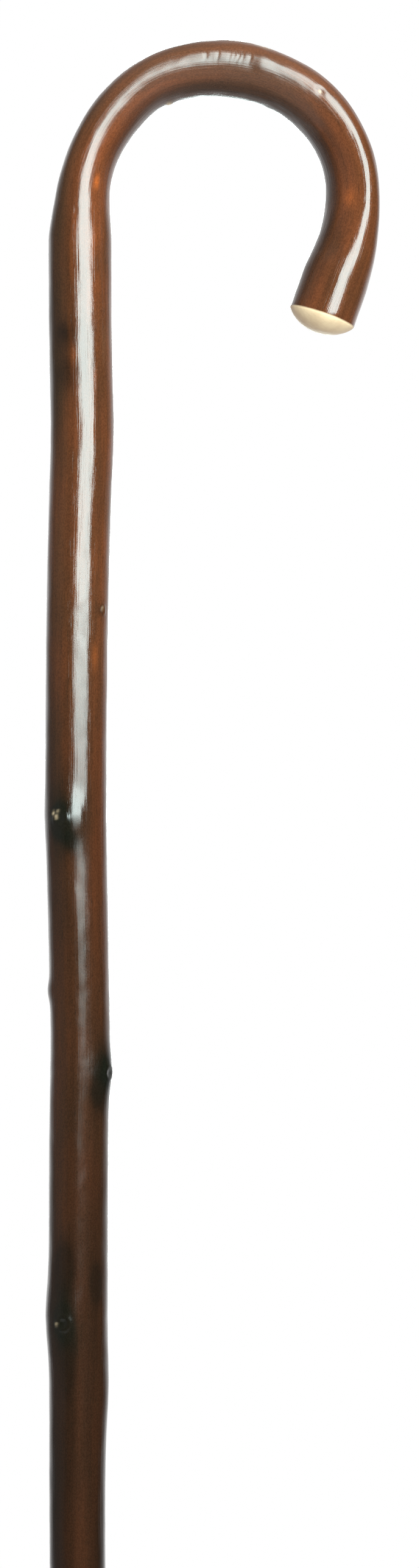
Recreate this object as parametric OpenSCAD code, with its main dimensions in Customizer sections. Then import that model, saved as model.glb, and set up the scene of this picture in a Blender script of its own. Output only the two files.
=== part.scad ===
// Crook-handled walking stick: one steam-bent length of wood, with a rubber ferrule on its foot.
// The origin is the centre of the ferrule's tread, +Z runs up the shaft, +X points from the shaft
// to the nose of the crook, and the crook lies flat in the XZ plane. Millimetres.

/* [Shaft] */
// Height of the shaft's straight stretch, where the crook begins
crook_z = 840; // [700:5:900]
// Diameter of the shaft just below the crook
shaft_top_d = 22.9; // [20:0.1:26]
// Diameter of the shaft at the mouth of the ferrule
shaft_foot_d = 19.8; // [19.6:0.1:21]
// How far the shaft strays from a straight line, as a share of its natural bow
shaft_bow = 1; // [0:0.1:2]
// Height of the knots and swellings, as a share of the natural one
knot_relief = 1; // [0:0.1:1.5]

/* [Crook] */
// Radius of the easy bend that starts the crook
lead_r = 250; // [200:10:400]
// Turn of the easy bend, in degrees
lead_turn = 4; // [2:1:6]
// Radius of the shoulder, the rise away from the shaft
shoulder_r = 55; // [50:1:60]
// Turn of the shoulder, in degrees
shoulder_turn = 44; // [40:1:48]
// Radius of the tight bend before the crown
pinch_r = 38; // [34:1:42]
// Turn of the tight bend, in degrees
pinch_turn = 26; // [22:1:30]
// Radius of the crown, the top of the crook
crown_r = 57; // [50:1:62]
// Turn of the crown, in degrees
crown_turn = 42; // [38:1:46]
// Radius of the fall, where the crook comes down again
fall_r = 43.5; // [40:0.5:48]
// Turn of the fall, in degrees
fall_turn = 61; // [56:1:64]
// Radius of the tuck, which turns the nose in towards the shaft
tuck_r = 68; // [60:1:80]
// Turn of the tuck, in degrees
tuck_turn = 23; // [10:1:26]
// Length of the straight nose
nose_l = 22; // [10:0.5:26]
// Diameter of the nose at its rim
nose_d = 23.9; // [21:0.1:25]
// Height of the domed end grain
dome_h = 6.3; // [2:0.1:9]

/* [Ferrule] */
// Height of the ferrule
ferrule_h = 38; // [34:1:44]
// Diameter of the ferrule's tread
tread_d = 36; // [32:1:42]
// Diameter of the ferrule's sleeve at its mouth
sleeve_d = 25.4; // [24:0.2:27]
// Depth of the socket, from the mouth to the wood's end
socket_h = 28; // [22:1:30]
// Diameter of the turned foot of the stick
seat_d = 19; // [18:0.1:19]
// Thickness of the steel disc under the wood
washer_t = 1.5; // [1:0.1:2]
// Diameter of the steel disc
washer_d = 21; // [20:0.5:22]

/* [Hidden] */

$fn = 96;

// Sides of the shaft's section, and the lengths of one ring of facets
sides = 24;
shaft_step = 10;
crook_step = 4;
dome_rings = 7;

// The wood starts a hair above the ferrule's mouth, and the turned foot overlaps it there
rim_gap = 1;
seat_overlap = 6;
seat_chamfer = 1;
seat_play = 0.05;

wood_z = ferrule_h + rim_gap;
washer_top = ferrule_h - socket_h;

// Bends of the crook, from the shaft to the nose: [radius, turn]
BENDS = [
    [lead_r, lead_turn],
    [shoulder_r, shoulder_turn],
    [pinch_r, pinch_turn],
    [crown_r, crown_turn],
    [fall_r, fall_turn],
    [tuck_r, tuck_turn]
];

// Length along the wood from the tread's level to the rim of the nose
bends_l = bend_length(len(BENDS));
rim_s = crook_z + bends_l + nose_l;

// Sideways bow of the shaft: [share of its height, offset along X]
BOW_X = [
    [0.00, 0], [0.07, 0], [0.18, 0.3], [0.30, -0.1], [0.40, -0.6], [0.46, -1.0], [0.52, -0.6],
    [0.58, -0.6], [0.63, -0.3], [0.66, 0.1], [0.72, -0.8], [0.76, -1.4], [0.82, -1.2],
    [0.88, -0.3], [0.92, 0.6], [0.96, 0.2], [1.00, 0]
];

// Bow of the shaft from front to back: [share of its height, offset along Y]
BOW_Y = [[0.00, 0], [0.07, 0], [0.30, 0.9], [0.52, 0.2], [0.74, -0.8], [0.90, 0.3], [1.00, 0]];

// Thickness of the shaft: [share of its height, share of the way from foot to top diameter]
TAPER = [
    [0.00, 0], [0.15, 0.02], [0.35, 0.16], [0.46, 0.15], [0.53, 0.45], [0.66, 0.55],
    [0.78, 0.75], [0.86, 0.86], [0.94, 0.95], [1.00, 1]
];

// Width of the crook, in its own plane: [distance past the shaft, share of the top diameter]
CROOK_W = [
    [0, 1], [5, 0.99], [20, 0.85], [34, 0.785], [50, 0.78], [66, 0.785], [78, 0.83], [92, 0.885],
    [101, 0.905], [116, 0.87], [132, 0.865], [146, 0.83], [158, 0.825], [170, 0.85],
    [182, 0.91], [192, 0.99], [201, 1.03]
];

// Depth of the crook, from front to back: [distance past the shaft, share of the top diameter]
CROOK_D = [[0, 1], [25, 0.96], [60, 0.93], [110, 0.93], [160, 0.91], [185, 0.97], [201, 1.03]];

// Knots and swellings: [share of the shaft's height, angle from +X towards the back,
// height, half length, half angle]
KNOTS = [
    [0.923, 0, 0.35, 20, 60],
    [0.845, -37, 0.25, 5, 20],
    [0.756, -117, 0.5, 14, 30],
    [0.756, 180, 0.3, 14, 50],
    [0.680, 180, 0.35, 9, 40],
    [0.649, -15, 1.3, 9, 42],
    [0.542, -150, 0.9, 14, 55],
    [0.540, 180, 0.5, 15, 40],
    [0.508, 0, 0.6, 12, 50],
    [0.340, 75, 0.7, 12, 35],
    [0.215, -60, 0.6, 12, 35],
    [0.120, 150, 0.5, 12, 35]
];

// ---- curves -------------------------------------------------------------------------------

// Index of the row of [place, value] pairs that a place falls behind
function row_at(rows, x, i = 0) =
    i >= len(rows) - 2 || x < rows[i + 1][0] ? i : row_at(rows, x, i + 1);

// Slope of a row of pairs at its i-th pair, flat at both ends
function row_slope(rows, i) =
    i == 0 || i == len(rows) - 1 ? 0 :
    (rows[i + 1][1] - rows[i - 1][1]) / (rows[i + 1][0] - rows[i - 1][0]);

// Value of a row of pairs at a place: a cubic curve through all of them
function smooth_row(rows, x) =
    let (
        i = row_at(rows, x),
        w = rows[i + 1][0] - rows[i][0],
        t = min(max((x - rows[i][0]) / w, 0), 1),
        a = rows[i][1],
        b = rows[i + 1][1],
        a_slope = row_slope(rows, i) * w,
        b_slope = row_slope(rows, i + 1) * w
    )
    a * (1 + 2 * t) * pow(1 - t, 2) + a_slope * t * pow(1 - t, 2)
        + b * t * t * (3 - 2 * t) + b_slope * t * t * (t - 1);

// Length of the first n bends
function bend_length(n) = n == 0 ? 0 : bend_length(n - 1) + bend_l(n - 1);
function bend_l(i) = BENDS[i][0] * BENDS[i][1] * PI / 180;

// A point and heading [x, z, heading] carried round an arc that turns clockwise
function along_arc(p, r, turn) = [
    p.x + r * (sin(p.z) - sin(p.z - turn)),
    p.y - r * (cos(p.z) - cos(p.z - turn)),
    p.z - turn
];

// [x, z, heading] at the end of the first n bends
function bend_end(n) =
    n == 0 ? [0, crook_z, 90] : along_arc(bend_end(n - 1), BENDS[n - 1][0], BENDS[n - 1][1]);

// [x, z, heading] at a distance past the shaft, inside bend i or later
function crook_at(d, i = 0) =
    i == len(BENDS) ? straight_on(bend_end(i), d) :
    d < bend_l(i) ? along_arc(bend_end(i), BENDS[i][0], d / BENDS[i][0] * 180 / PI) :
    crook_at(d - bend_l(i), i + 1);
function straight_on(p, d) = [p.x + d * cos(p.z), p.y + d * sin(p.z), p.z];

// [x, z, heading] of the wood's middle line at a length s from the tread's level
function middle(s) =
    s > crook_z ? crook_at(s - crook_z) : [shaft_bow * smooth_row(BOW_X, s / crook_z), s, 90];
function middle_y(s) =
    s > crook_z ? 0 : shaft_bow * smooth_row(BOW_Y, s / crook_z);

// Diameters of the wood at a length s: across the crook's plane and from front to back
nose_share = nose_d / shaft_top_d / 1.03;
function nose_swell(d) = d < 170 ? 1 : 1 + (nose_share - 1) * (d - 170) / (rim_s - crook_z - 170);
function shaft_d(s) =
    shaft_foot_d + (shaft_top_d - shaft_foot_d) * smooth_row(TAPER, s / crook_z);
function wood_w(s) =
    s > crook_z ? shaft_top_d * smooth_row(CROOK_W, s - crook_z) * nose_swell(s - crook_z) : shaft_d(s);
function wood_d(s) =
    s > crook_z ? shaft_top_d * smooth_row(CROOK_D, s - crook_z) * nose_swell(s - crook_z) : shaft_d(s);

// Height of all knots together at a length s and an angle a
function turn_gap(a, b) = abs((a - b + 540) % 360 - 180);
function knot_h(s, a) =
    knot_relief * sum_of([
        for (k = KNOTS)
            k[2] * exp(-pow((s - k[0] * crook_z) / k[3], 2) - pow(turn_gap(a, k[1]) / k[4], 2))
    ]);
function sum_of(list, i = 0) = i == len(list) ? 0 : list[i] + sum_of(list, i + 1);

// ---- wood ---------------------------------------------------------------------------------

// One ring of points round the middle line; shrink closes it and rise carries it past the rim
function ring(s, shrink = 1, rise = 0) =
    let (m = straight_on(middle(s), rise), y = middle_y(s), w = wood_w(s) / 2, d = wood_d(s) / 2)
    [
        for (i = [0:sides - 1])
            let (
                a = i * 360 / sides,
                h = knot_h(s, a),
                across = (w + h) * cos(a) * shrink,
                depth = (d + h) * sin(a) * shrink
            )
            [m.x + across * sin(m.z), y + depth, m.y - across * cos(m.z)]
    ];

shaft_rings = ceil((crook_z - wood_z) / shaft_step);
crook_rings = ceil((rim_s - crook_z) / crook_step);
WOOD_RINGS = concat(
    [for (i = [0:shaft_rings - 1]) ring(wood_z + (crook_z - wood_z) * i / shaft_rings)],
    [for (i = [0:crook_rings]) ring(crook_z + (rim_s - crook_z) * i / crook_rings)],
    [for (i = [1:dome_rings]) dome_ring(sin(90 * i / (dome_rings + 0.5)))]
);

// A ring of the dome, at a share of its height: it bulges between a parabola and an ellipse
function dome_ring(rise) = ring(rim_s, sqrt(1 - pow(rise, 4 / 3)), rise * dome_h);

// Closed skin over a list of rings, with flat ends
module skin(rings) {
    n = len(rings[0]);
    last = len(rings) - 1;
    points = [for (r = rings) each r];
    walls = [
        for (j = [0:last - 1], i = [0:n - 1])
            let (a = j * n + i, b = j * n + (i + 1) % n)
            each [[a, a + n, b], [b, a + n, b + n]]
    ];
    ends = [[for (i = [0:n - 1]) i], [for (i = [n - 1:-1:0]) last * n + i]];
    polyhedron(points = points, faces = concat(walls, ends), convexity = 6);
}

// The whole stick: bent wood, with the turned foot that goes into the ferrule
module stick() {
    color("saddlebrown") {
        skin(WOOD_RINGS);
        translate([0, 0, washer_top]) {
            cylinder(h = seat_chamfer, d1 = seat_d - 2 * seat_chamfer, d2 = seat_d);
            translate([0, 0, seat_chamfer])
                cylinder(h = wood_z + seat_overlap - washer_top - seat_chamfer, d = seat_d);
        }
    }
}

// ---- ferrule ------------------------------------------------------------------------------

tread_r = tread_d / 2;
sleeve_r = sleeve_d / 2;
tread_h = 7;
edge_r = 1.2;
flare_r = 3.4;
sleeve_taper = 0.7;
bead_r = 1.5;
bead_out = 0.9;
groove_w = 1.6;
groove_depth = 2;
groove_pitch = 4.2;
groove_count = 3;
first_groove = 4;

// Points of a quarter round, from one angle to another
function quarter(x, z, r, from, to) =
    [for (i = [0:6]) let (a = from + (to - from) * i / 6) [x + r * cos(a), z + r * sin(a)]];

// Outline of the rubber: a rounded tread, a hollow flare, a sleeve and a bead round its mouth
module rubber_outline() {
    flare_x = sleeve_r + sleeve_taper + flare_r;
    polygon(concat(
        [[0, 0]],
        quarter(tread_r - edge_r, edge_r, edge_r, -90, 0),
        quarter(tread_r - edge_r, tread_h - edge_r, edge_r, 0, 90),
        quarter(flare_x, tread_h + flare_r, flare_r, -90, -180),
        [[sleeve_r, ferrule_h - 2 * bead_r]],
        quarter(sleeve_r + bead_out - bead_r, ferrule_h - 1.6 * bead_r, bead_r, -60, 90),
        [[0, ferrule_h - 0.6 * bead_r]]
    ));
}

// Moulded rubber: sleeve and tread, with the socket, the disc's pocket and the tread's rings
module ferrule_rubber() {
    socket_r = seat_d / 2 + seat_play;
    color("dimgray")
        difference() {
            rotate_extrude() rubber_outline();
            translate([0, 0, washer_top - washer_t])
                cylinder(h = ferrule_h, r = socket_r);
            translate([0, 0, washer_top - washer_t])
                cylinder(h = washer_t, d = washer_d);
            for (i = [0:groove_count - 1])
                tread_groove(first_groove + i * groove_pitch);
        }
}

// One ring-shaped groove in the tread
module tread_groove(r) {
    translate([0, 0, -groove_depth])
        difference() {
            cylinder(h = 2 * groove_depth, r = r + groove_w);
            cylinder(h = 2 * groove_depth, r = r);
        }
}

// Steel disc held in the rubber, under the wood
module ferrule_washer() {
    color("silver")
        translate([0, 0, washer_top - washer_t])
            cylinder(h = washer_t, d = washer_d);
}

stick();
ferrule_rubber();
ferrule_washer();
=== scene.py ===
"""A crook-handled walking stick of varnished chestnut on a rubber ferrule.

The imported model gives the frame: the wood's foot and top, the ferrule and the disc. The wood is made
again here as one fine surface, with its knots, bark ripples, wrinkles and domed nose, and the ferrule's
moulding gets its rubber. Lengths in the classes are millimetres and angles degrees, because those are
the stick maker's units; a mesh is turned into metres when it is made.
"""
import logging
import math
from dataclasses import dataclass, field
from enum import Enum

import bpy
import numpy as np
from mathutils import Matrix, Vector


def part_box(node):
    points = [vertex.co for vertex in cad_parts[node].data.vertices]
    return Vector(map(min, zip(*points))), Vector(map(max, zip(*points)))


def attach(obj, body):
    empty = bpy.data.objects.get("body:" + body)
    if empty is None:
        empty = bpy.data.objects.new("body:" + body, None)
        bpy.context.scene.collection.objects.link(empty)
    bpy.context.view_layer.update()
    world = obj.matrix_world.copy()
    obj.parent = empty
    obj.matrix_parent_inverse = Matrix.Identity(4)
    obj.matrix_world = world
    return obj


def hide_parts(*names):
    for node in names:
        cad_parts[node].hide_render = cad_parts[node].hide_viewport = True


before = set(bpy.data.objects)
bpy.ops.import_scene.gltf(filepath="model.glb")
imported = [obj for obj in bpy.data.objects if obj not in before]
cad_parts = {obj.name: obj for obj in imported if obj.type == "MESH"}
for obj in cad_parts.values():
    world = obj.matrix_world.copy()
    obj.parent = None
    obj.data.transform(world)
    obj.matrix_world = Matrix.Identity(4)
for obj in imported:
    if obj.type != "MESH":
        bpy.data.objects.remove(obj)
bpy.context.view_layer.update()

log = logging.getLogger("walking_stick")

MM = 0.001
TURN = 2 * math.pi


# ---------------------------------------------------------------------------------------------------
# Curves and surfaces
# ---------------------------------------------------------------------------------------------------
def through(rows: tuple, x: np.ndarray) -> np.ndarray:
    """A smooth curve through [place, value] pairs, flat at both ends.

    Between two pairs it is the cubic that has their values and, at each, the slope of the line
    joining the pairs on either side.

    Args:
        rows: The pairs, in order of place.
        x: The places asked for.

    Returns:
        The value at each place, held at the end values outside the pairs.
    """
    place, value = np.array(rows, float).T
    slope = np.zeros(len(place))
    slope[1:-1] = (value[2:] - value[:-2]) / (place[2:] - place[:-2])
    i = np.clip(np.searchsorted(place, x, side="right") - 1, 0, len(place) - 2)
    width = place[i + 1] - place[i]
    t = np.clip((x - place[i]) / width, 0, 1)
    start = value[i] * (1 + 2 * t) * (1 - t) ** 2 + slope[i] * width * t * (1 - t) ** 2
    end = value[i + 1] * t * t * (3 - 2 * t) + slope[i + 1] * width * t * t * (t - 1)
    return start + end


def bump(x: np.ndarray, centre: float, reach: float) -> np.ndarray:
    """A bell curve, 1 at the centre and about a third of that one reach away."""
    return np.exp(-(((x - centre) / reach) ** 2))


def step(x: np.ndarray, low: float, high: float) -> np.ndarray:
    """A smooth step from 0 at low to 1 at high, with level ends: 3t^2 - 2t^3."""
    t = np.clip((x - low) / (high - low), 0, 1)
    return t * t * (3 - 2 * t)


def turn_gap(angle: np.ndarray, centre: float) -> np.ndarray:
    """The signed gap between an angle and a centre, in degrees, from -180 to 180."""
    return (angle - centre + 540) % 360 - 180


def ripples(place: np.ndarray, angle: np.ndarray, orders: tuple, drift: float, seed: int) -> np.ndarray:
    """Lengthwise ribs round a stem, which wander sideways and fade in and out along it.

    It is a sum of cosines of the angle, one for each order, with as many ribs as the order. Each
    one's phase and height swing slowly with the place along the stem, at two wavelengths of its own.

    Args:
        place: Places along the stem, in mm.
        angle: Angles round it, in degrees.
        orders: How many ribs each cosine has.
        drift: Length over which the ribs wander, in mm.
        seed: Seed of the phases.

    Returns:
        Heights of about -1 to 1, with slopes shared out evenly among the orders.
    """
    rng = np.random.default_rng(seed)
    total = np.zeros(np.broadcast(place, angle).shape)
    for order in orders:
        phase, lean, swell = rng.uniform(0, TURN, 3)
        fast, slow = drift * rng.uniform(0.6, 1.1), drift * rng.uniform(1.8, 3.4)
        wander = phase + 1.5 * np.sin(TURN * place / slow + lean) + 0.5 * np.sin(TURN * place / fast)
        height = 0.55 + 0.45 * np.sin(TURN * place / (1.3 * fast) + swell)
        total += height * np.cos(order * np.radians(angle) + wander) / order
    return total * min(orders) / math.sqrt(len(orders))


def tube(name: str, rings: np.ndarray, strips: int = 4) -> bpy.types.Object:
    """A closed tube over a grid of rings, with a fan to a middle point at each end.

    Its UV map cuts the tube's length, measured over the skin from one end's middle to the other's,
    into equal strips that lie side by side. In a strip, U runs round the tube and V along it.

    Args:
        name: The piece's name.
        rings: Points in metres, shaped (rings, points in a ring, 3), running so that faces look out.
        strips: How many strips the UV map has.

    Returns:
        The new object, smooth shaded and linked to the scene.
    """
    count, around = rings.shape[:2]
    ends = np.stack([rings[0].mean(0), rings[-1].mean(0)])
    row, column = np.meshgrid(np.arange(count - 1), np.arange(around), indexing="ij")
    beside = (column + 1) % around
    below, above = row * around, (row + 1) * around
    walls = [below + column, below + beside, above + beside, above + column]
    ring = np.arange(around)
    beside = (ring + 1) % around
    last, middle = (count - 1) * around, count * around
    first_fan = np.stack([beside, ring, 0 * ring + middle], -1)
    last_fan = np.stack([last + ring, last + beside, 0 * ring + middle + 1], -1)
    faces = np.stack(walls, -1).reshape(-1, 4).tolist() + first_fan.tolist() + last_fan.tolist()
    mesh = bpy.data.meshes.new(name)
    mesh.from_pydata(np.vstack([rings.reshape(-1, 3), ends]), [], faces)
    mesh.shade_smooth()
    steps = np.linalg.norm(np.diff(np.vstack([ends[:1], rings[:, 0], ends[1:]]), axis=0), axis=1)
    along = np.concatenate([[0], np.cumsum(steps)])
    wall_u = np.stack([column, column + 1, column + 1, column], -1).reshape(-1)
    wall_v = np.stack([along[row + 1], along[row + 1], along[row + 2], along[row + 2]], -1).reshape(-1)
    wall_start = np.repeat(along[row + 1], 4)
    fan_u = np.stack([ring + 1, ring, ring + 0.5], -1).reshape(-1)
    first_v = np.tile([along[1], along[1], 0], around)
    last_v = np.tile([along[-2], along[-2], along[-1]], around)
    last_u = np.stack([ring, ring + 1, ring + 0.5], -1).reshape(-1)
    u = np.concatenate([wall_u, fan_u, last_u]) / around
    v = np.concatenate([wall_v, first_v, last_v]) / along[-1] * strips
    begun = np.concatenate([wall_start, 0 * first_v, 0 * last_v + along[-2]]) / along[-1] * strips
    strip = np.minimum(np.floor(begun), strips - 1)
    margin = 0.02
    used = 1 - 2 * margin
    layer = mesh.uv_layers.new(name="OFBake")
    spread = np.stack([(strip + margin + used * u) / strips, (v - strip) * used + margin], -1)
    layer.data.foreach_set("uv", spread.astype(np.float32).ravel())
    mesh.update()
    piece = bpy.data.objects.new(name, mesh)
    bpy.context.scene.collection.objects.link(piece)
    return piece


# ---------------------------------------------------------------------------------------------------
# Shader building blocks
# ---------------------------------------------------------------------------------------------------
class Graph:
    """A node tree with short ways to add nodes and join them."""

    def __init__(self, tree: bpy.types.NodeTree) -> None:
        """Keeps the tree that nodes are added to.

        Args:
            tree: The node tree.
        """
        self.tree = tree
        self.nodes = tree.nodes
        self.column = 0

    def add(self, kind: str, **settings: object) -> bpy.types.Node:
        """Adds a node and sets its properties.

        Args:
            kind: The node's type name, such as "ShaderNodeMath".
            **settings: Properties of the node.

        Returns:
            The node.
        """
        node = self.nodes.new(kind)
        node.location = (220 * (self.column % 12), -260 * (self.column // 12))
        self.column += 1
        for name, value in settings.items():
            setattr(node, name, value)
        return node

    def feed(self, node: bpy.types.Node, **inputs: object) -> bpy.types.Node:
        """Sets or links a node's inputs; an underscore in a name stands for a space.

        Args:
            node: The node.
            **inputs: A socket to link from, or a plain value, for each input.

        Returns:
            The node.
        """
        for name, value in inputs.items():
            socket = node.inputs[name.replace("_", " ")]
            if isinstance(value, bpy.types.NodeSocket):
                self.tree.links.new(value, socket)
            else:
                socket.default_value = value
        return node

    def math(
        self, operation: str, a: object, b: object = 0.0, clamp: bool = False,
    ) -> bpy.types.NodeSocket:
        """The result of a Math node on two values or sockets.

        Args:
            operation: What the node does, such as "MULTIPLY".
            a: The first value or socket.
            b: The second value or socket.
            clamp: Whether the result is held between 0 and 1.

        Returns:
            The result's socket.
        """
        node = self.add("ShaderNodeMath", operation=operation, use_clamp=clamp)
        for socket, value in zip(node.inputs, (a, b)):
            if isinstance(value, bpy.types.NodeSocket):
                self.tree.links.new(value, socket)
            else:
                socket.default_value = value
        return node.outputs[0]

    def mix(self, share: object, a: object, b: object, blend: str = "MIX") -> bpy.types.NodeSocket:
        """The result of a colour Mix node: a where share is 0, b where it is 1.

        Args:
            share: A value or socket.
            a: The first colour or socket.
            b: The second colour or socket.
            blend: How b is laid over a, such as "MULTIPLY".

        Returns:
            The mixed colour's socket.
        """
        node = self.add("ShaderNodeMix", data_type="RGBA", blend_type=blend)
        for socket, value in zip((node.inputs[0], node.inputs[6], node.inputs[7]), (share, a, b)):
            if isinstance(value, bpy.types.NodeSocket):
                self.tree.links.new(value, socket)
            else:
                socket.default_value = value
        return node.outputs[2]

    def remap(
        self, value: object, low: float, high: float, to_low: float = 0.0, to_high: float = 1.0,
    ) -> bpy.types.NodeSocket:
        """A value moved smoothly from one range to another, held at the range's ends.

        Args:
            value: The socket to read.
            low: The value that becomes to_low.
            high: The value that becomes to_high.
            to_low: What low becomes.
            to_high: What high becomes.

        Returns:
            The moved value's socket.
        """
        node = self.add("ShaderNodeMapRange", interpolation_type="SMOOTHSTEP")
        self.tree.links.new(value, node.inputs["Value"])
        limits = {"From_Min": low, "From_Max": high, "To_Min": to_low, "To_Max": to_high}
        return self.feed(node, **limits).outputs["Result"]

    def noise(
        self, vector: bpy.types.NodeSocket, scale: tuple, detail: float = 3.0, rough: float = 0.5,
    ) -> bpy.types.NodeSocket:
        """A noise pattern with a scale of its own along each axis, in cells per metre.

        Args:
            vector: The coordinates it is drawn on.
            scale: Cells per metre along X, Y and Z.
            detail: Octaves of finer noise.
            rough: Strength of the finer octaves.

        Returns:
            The pattern's value, about 0.5 on average.
        """
        mapping = self.add("ShaderNodeMapping")
        mapping.inputs["Scale"].default_value = scale
        self.tree.links.new(vector, mapping.inputs["Vector"])
        node = self.add("ShaderNodeTexNoise")
        self.feed(node, Vector=mapping.outputs[0], Scale=1.0, Detail=detail, Roughness=rough)
        return node.outputs["Fac"]


def new_material(name: str) -> tuple[bpy.types.Material, Graph, bpy.types.Node]:
    """A material with an empty tree, a Principled BSDF and its output.

    Args:
        name: The material's name.

    Returns:
        The material, its graph and the Principled BSDF.
    """
    material = bpy.data.materials.new(name)
    material.use_nodes = True
    graph = Graph(material.node_tree)
    graph.nodes.clear()
    output = graph.add("ShaderNodeOutputMaterial")
    shader = graph.add("ShaderNodeBsdfPrincipled")
    graph.tree.links.new(shader.outputs[0], output.inputs["Surface"])
    return material, graph, shader


def new_group(
    name: str, inputs: dict, outputs: dict,
) -> tuple[bpy.types.NodeTree, Graph, bpy.types.Node, bpy.types.Node]:
    """An empty shader node group with named sockets.

    Args:
        name: The group's name.
        inputs: Socket type of each input, by name.
        outputs: Socket type of each output, by name.

    Returns:
        The group, its graph, and its input and output nodes.
    """
    tree = bpy.data.node_groups.new(name, "ShaderNodeTree")
    for direction, sockets in (("INPUT", inputs), ("OUTPUT", outputs)):
        for label, kind in sockets.items():
            tree.interface.new_socket(name=label, in_out=direction, socket_type=kind)
    graph = Graph(tree)
    return tree, graph, graph.add("NodeGroupInput"), graph.add("NodeGroupOutput")


def colour(hexed: str, gain: float = 1.0) -> tuple[float, float, float, float]:
    """A screen colour as the linear colour that a shader takes, times a gain.

    Args:
        hexed: The screen colour in six hexadecimal digits, such as "7a5230".
        gain: What the linear colour is multiplied by.

    Returns:
        Red, green, blue and an alpha of 1.
    """
    screen = np.array([int(hexed[i:i + 2], 16) for i in (0, 2, 4)]) / 255
    linear = np.where(screen <= 0.04045, screen / 12.92, ((screen + 0.055) / 1.055) ** 2.4) * gain
    return (float(linear[0]), float(linear[1]), float(linear[2]), 1.0)


def grain_group() -> bpy.types.NodeTree:
    """The group of wood grain, drawn on the unbent stem so that it follows the crook.

    Its input is the place on the straight stem in metres, with Z along the fibres. Its outputs are
    masks from 0 to 1: Streak, the broad lengthwise bands; Fibre, the fine threads; Groove, hairlines
    between threads; Pore, short dark dashes; Speckle, the fine mottle; and Patch, slow changes.

    Returns:
        The group.
    """
    masks = ("Streak", "Fibre", "Groove", "Pore", "Speckle", "Patch")
    outputs = {name: "NodeSocketFloat" for name in masks}
    tree, graph, given, made = new_group("wood_grain", {"Stem": "NodeSocketVector"}, outputs)
    stem = given.outputs["Stem"]
    streak = graph.remap(graph.noise(stem, (260, 260, 9), 4, 0.55), 0.36, 0.66)
    fibre = graph.remap(graph.noise(stem, (1500, 1500, 45), 3, 0.6), 0.3, 0.7)
    thread = graph.math("SUBTRACT", graph.noise(stem, (1150, 1150, 26), 2, 0.5), 0.5)
    groove = graph.remap(graph.math("ABSOLUTE", thread), 0.0, 0.03, 1.0, 0.0)
    pore = graph.remap(graph.noise(stem, (2600, 2600, 330), 2, 0.5), 0.6, 0.72)
    speckle = graph.remap(graph.noise(stem, (2100, 2100, 1500), 2, 0.6), 0.25, 0.75)
    patch = graph.remap(graph.noise(stem, (55, 55, 14), 4, 0.6), 0.34, 0.66)
    graph.feed(made, Streak=streak, Fibre=fibre, Groove=groove, Pore=pore, Speckle=speckle, Patch=patch)
    return tree


def dust_group() -> bpy.types.NodeTree:
    """The group of dust and scuffs that gather towards the ground.

    Its inputs are the place in metres and the height at which the dust has faded out. Its output is
    Dust, a mask from 0 to 1, patchy and strongest at the bottom.

    Returns:
        The group.
    """
    inputs = {"Place": "NodeSocketVector", "Top": "NodeSocketFloat"}
    tree, graph, given, made = new_group("floor_dust", inputs, {"Dust": "NodeSocketFloat"})
    parts = graph.add("ShaderNodeSeparateXYZ")
    graph.tree.links.new(given.outputs["Place"], parts.inputs[0])
    height = graph.math("DIVIDE", parts.outputs["Z"], given.outputs["Top"])
    low = graph.math("SUBTRACT", 1.0, height, clamp=True)
    patchy = graph.remap(graph.noise(given.outputs["Place"], (320, 320, 260), 5, 0.65), 0.35, 0.75)
    graph.feed(made, Dust=graph.math("MULTIPLY", low, patchy, clamp=True))
    return tree


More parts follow.
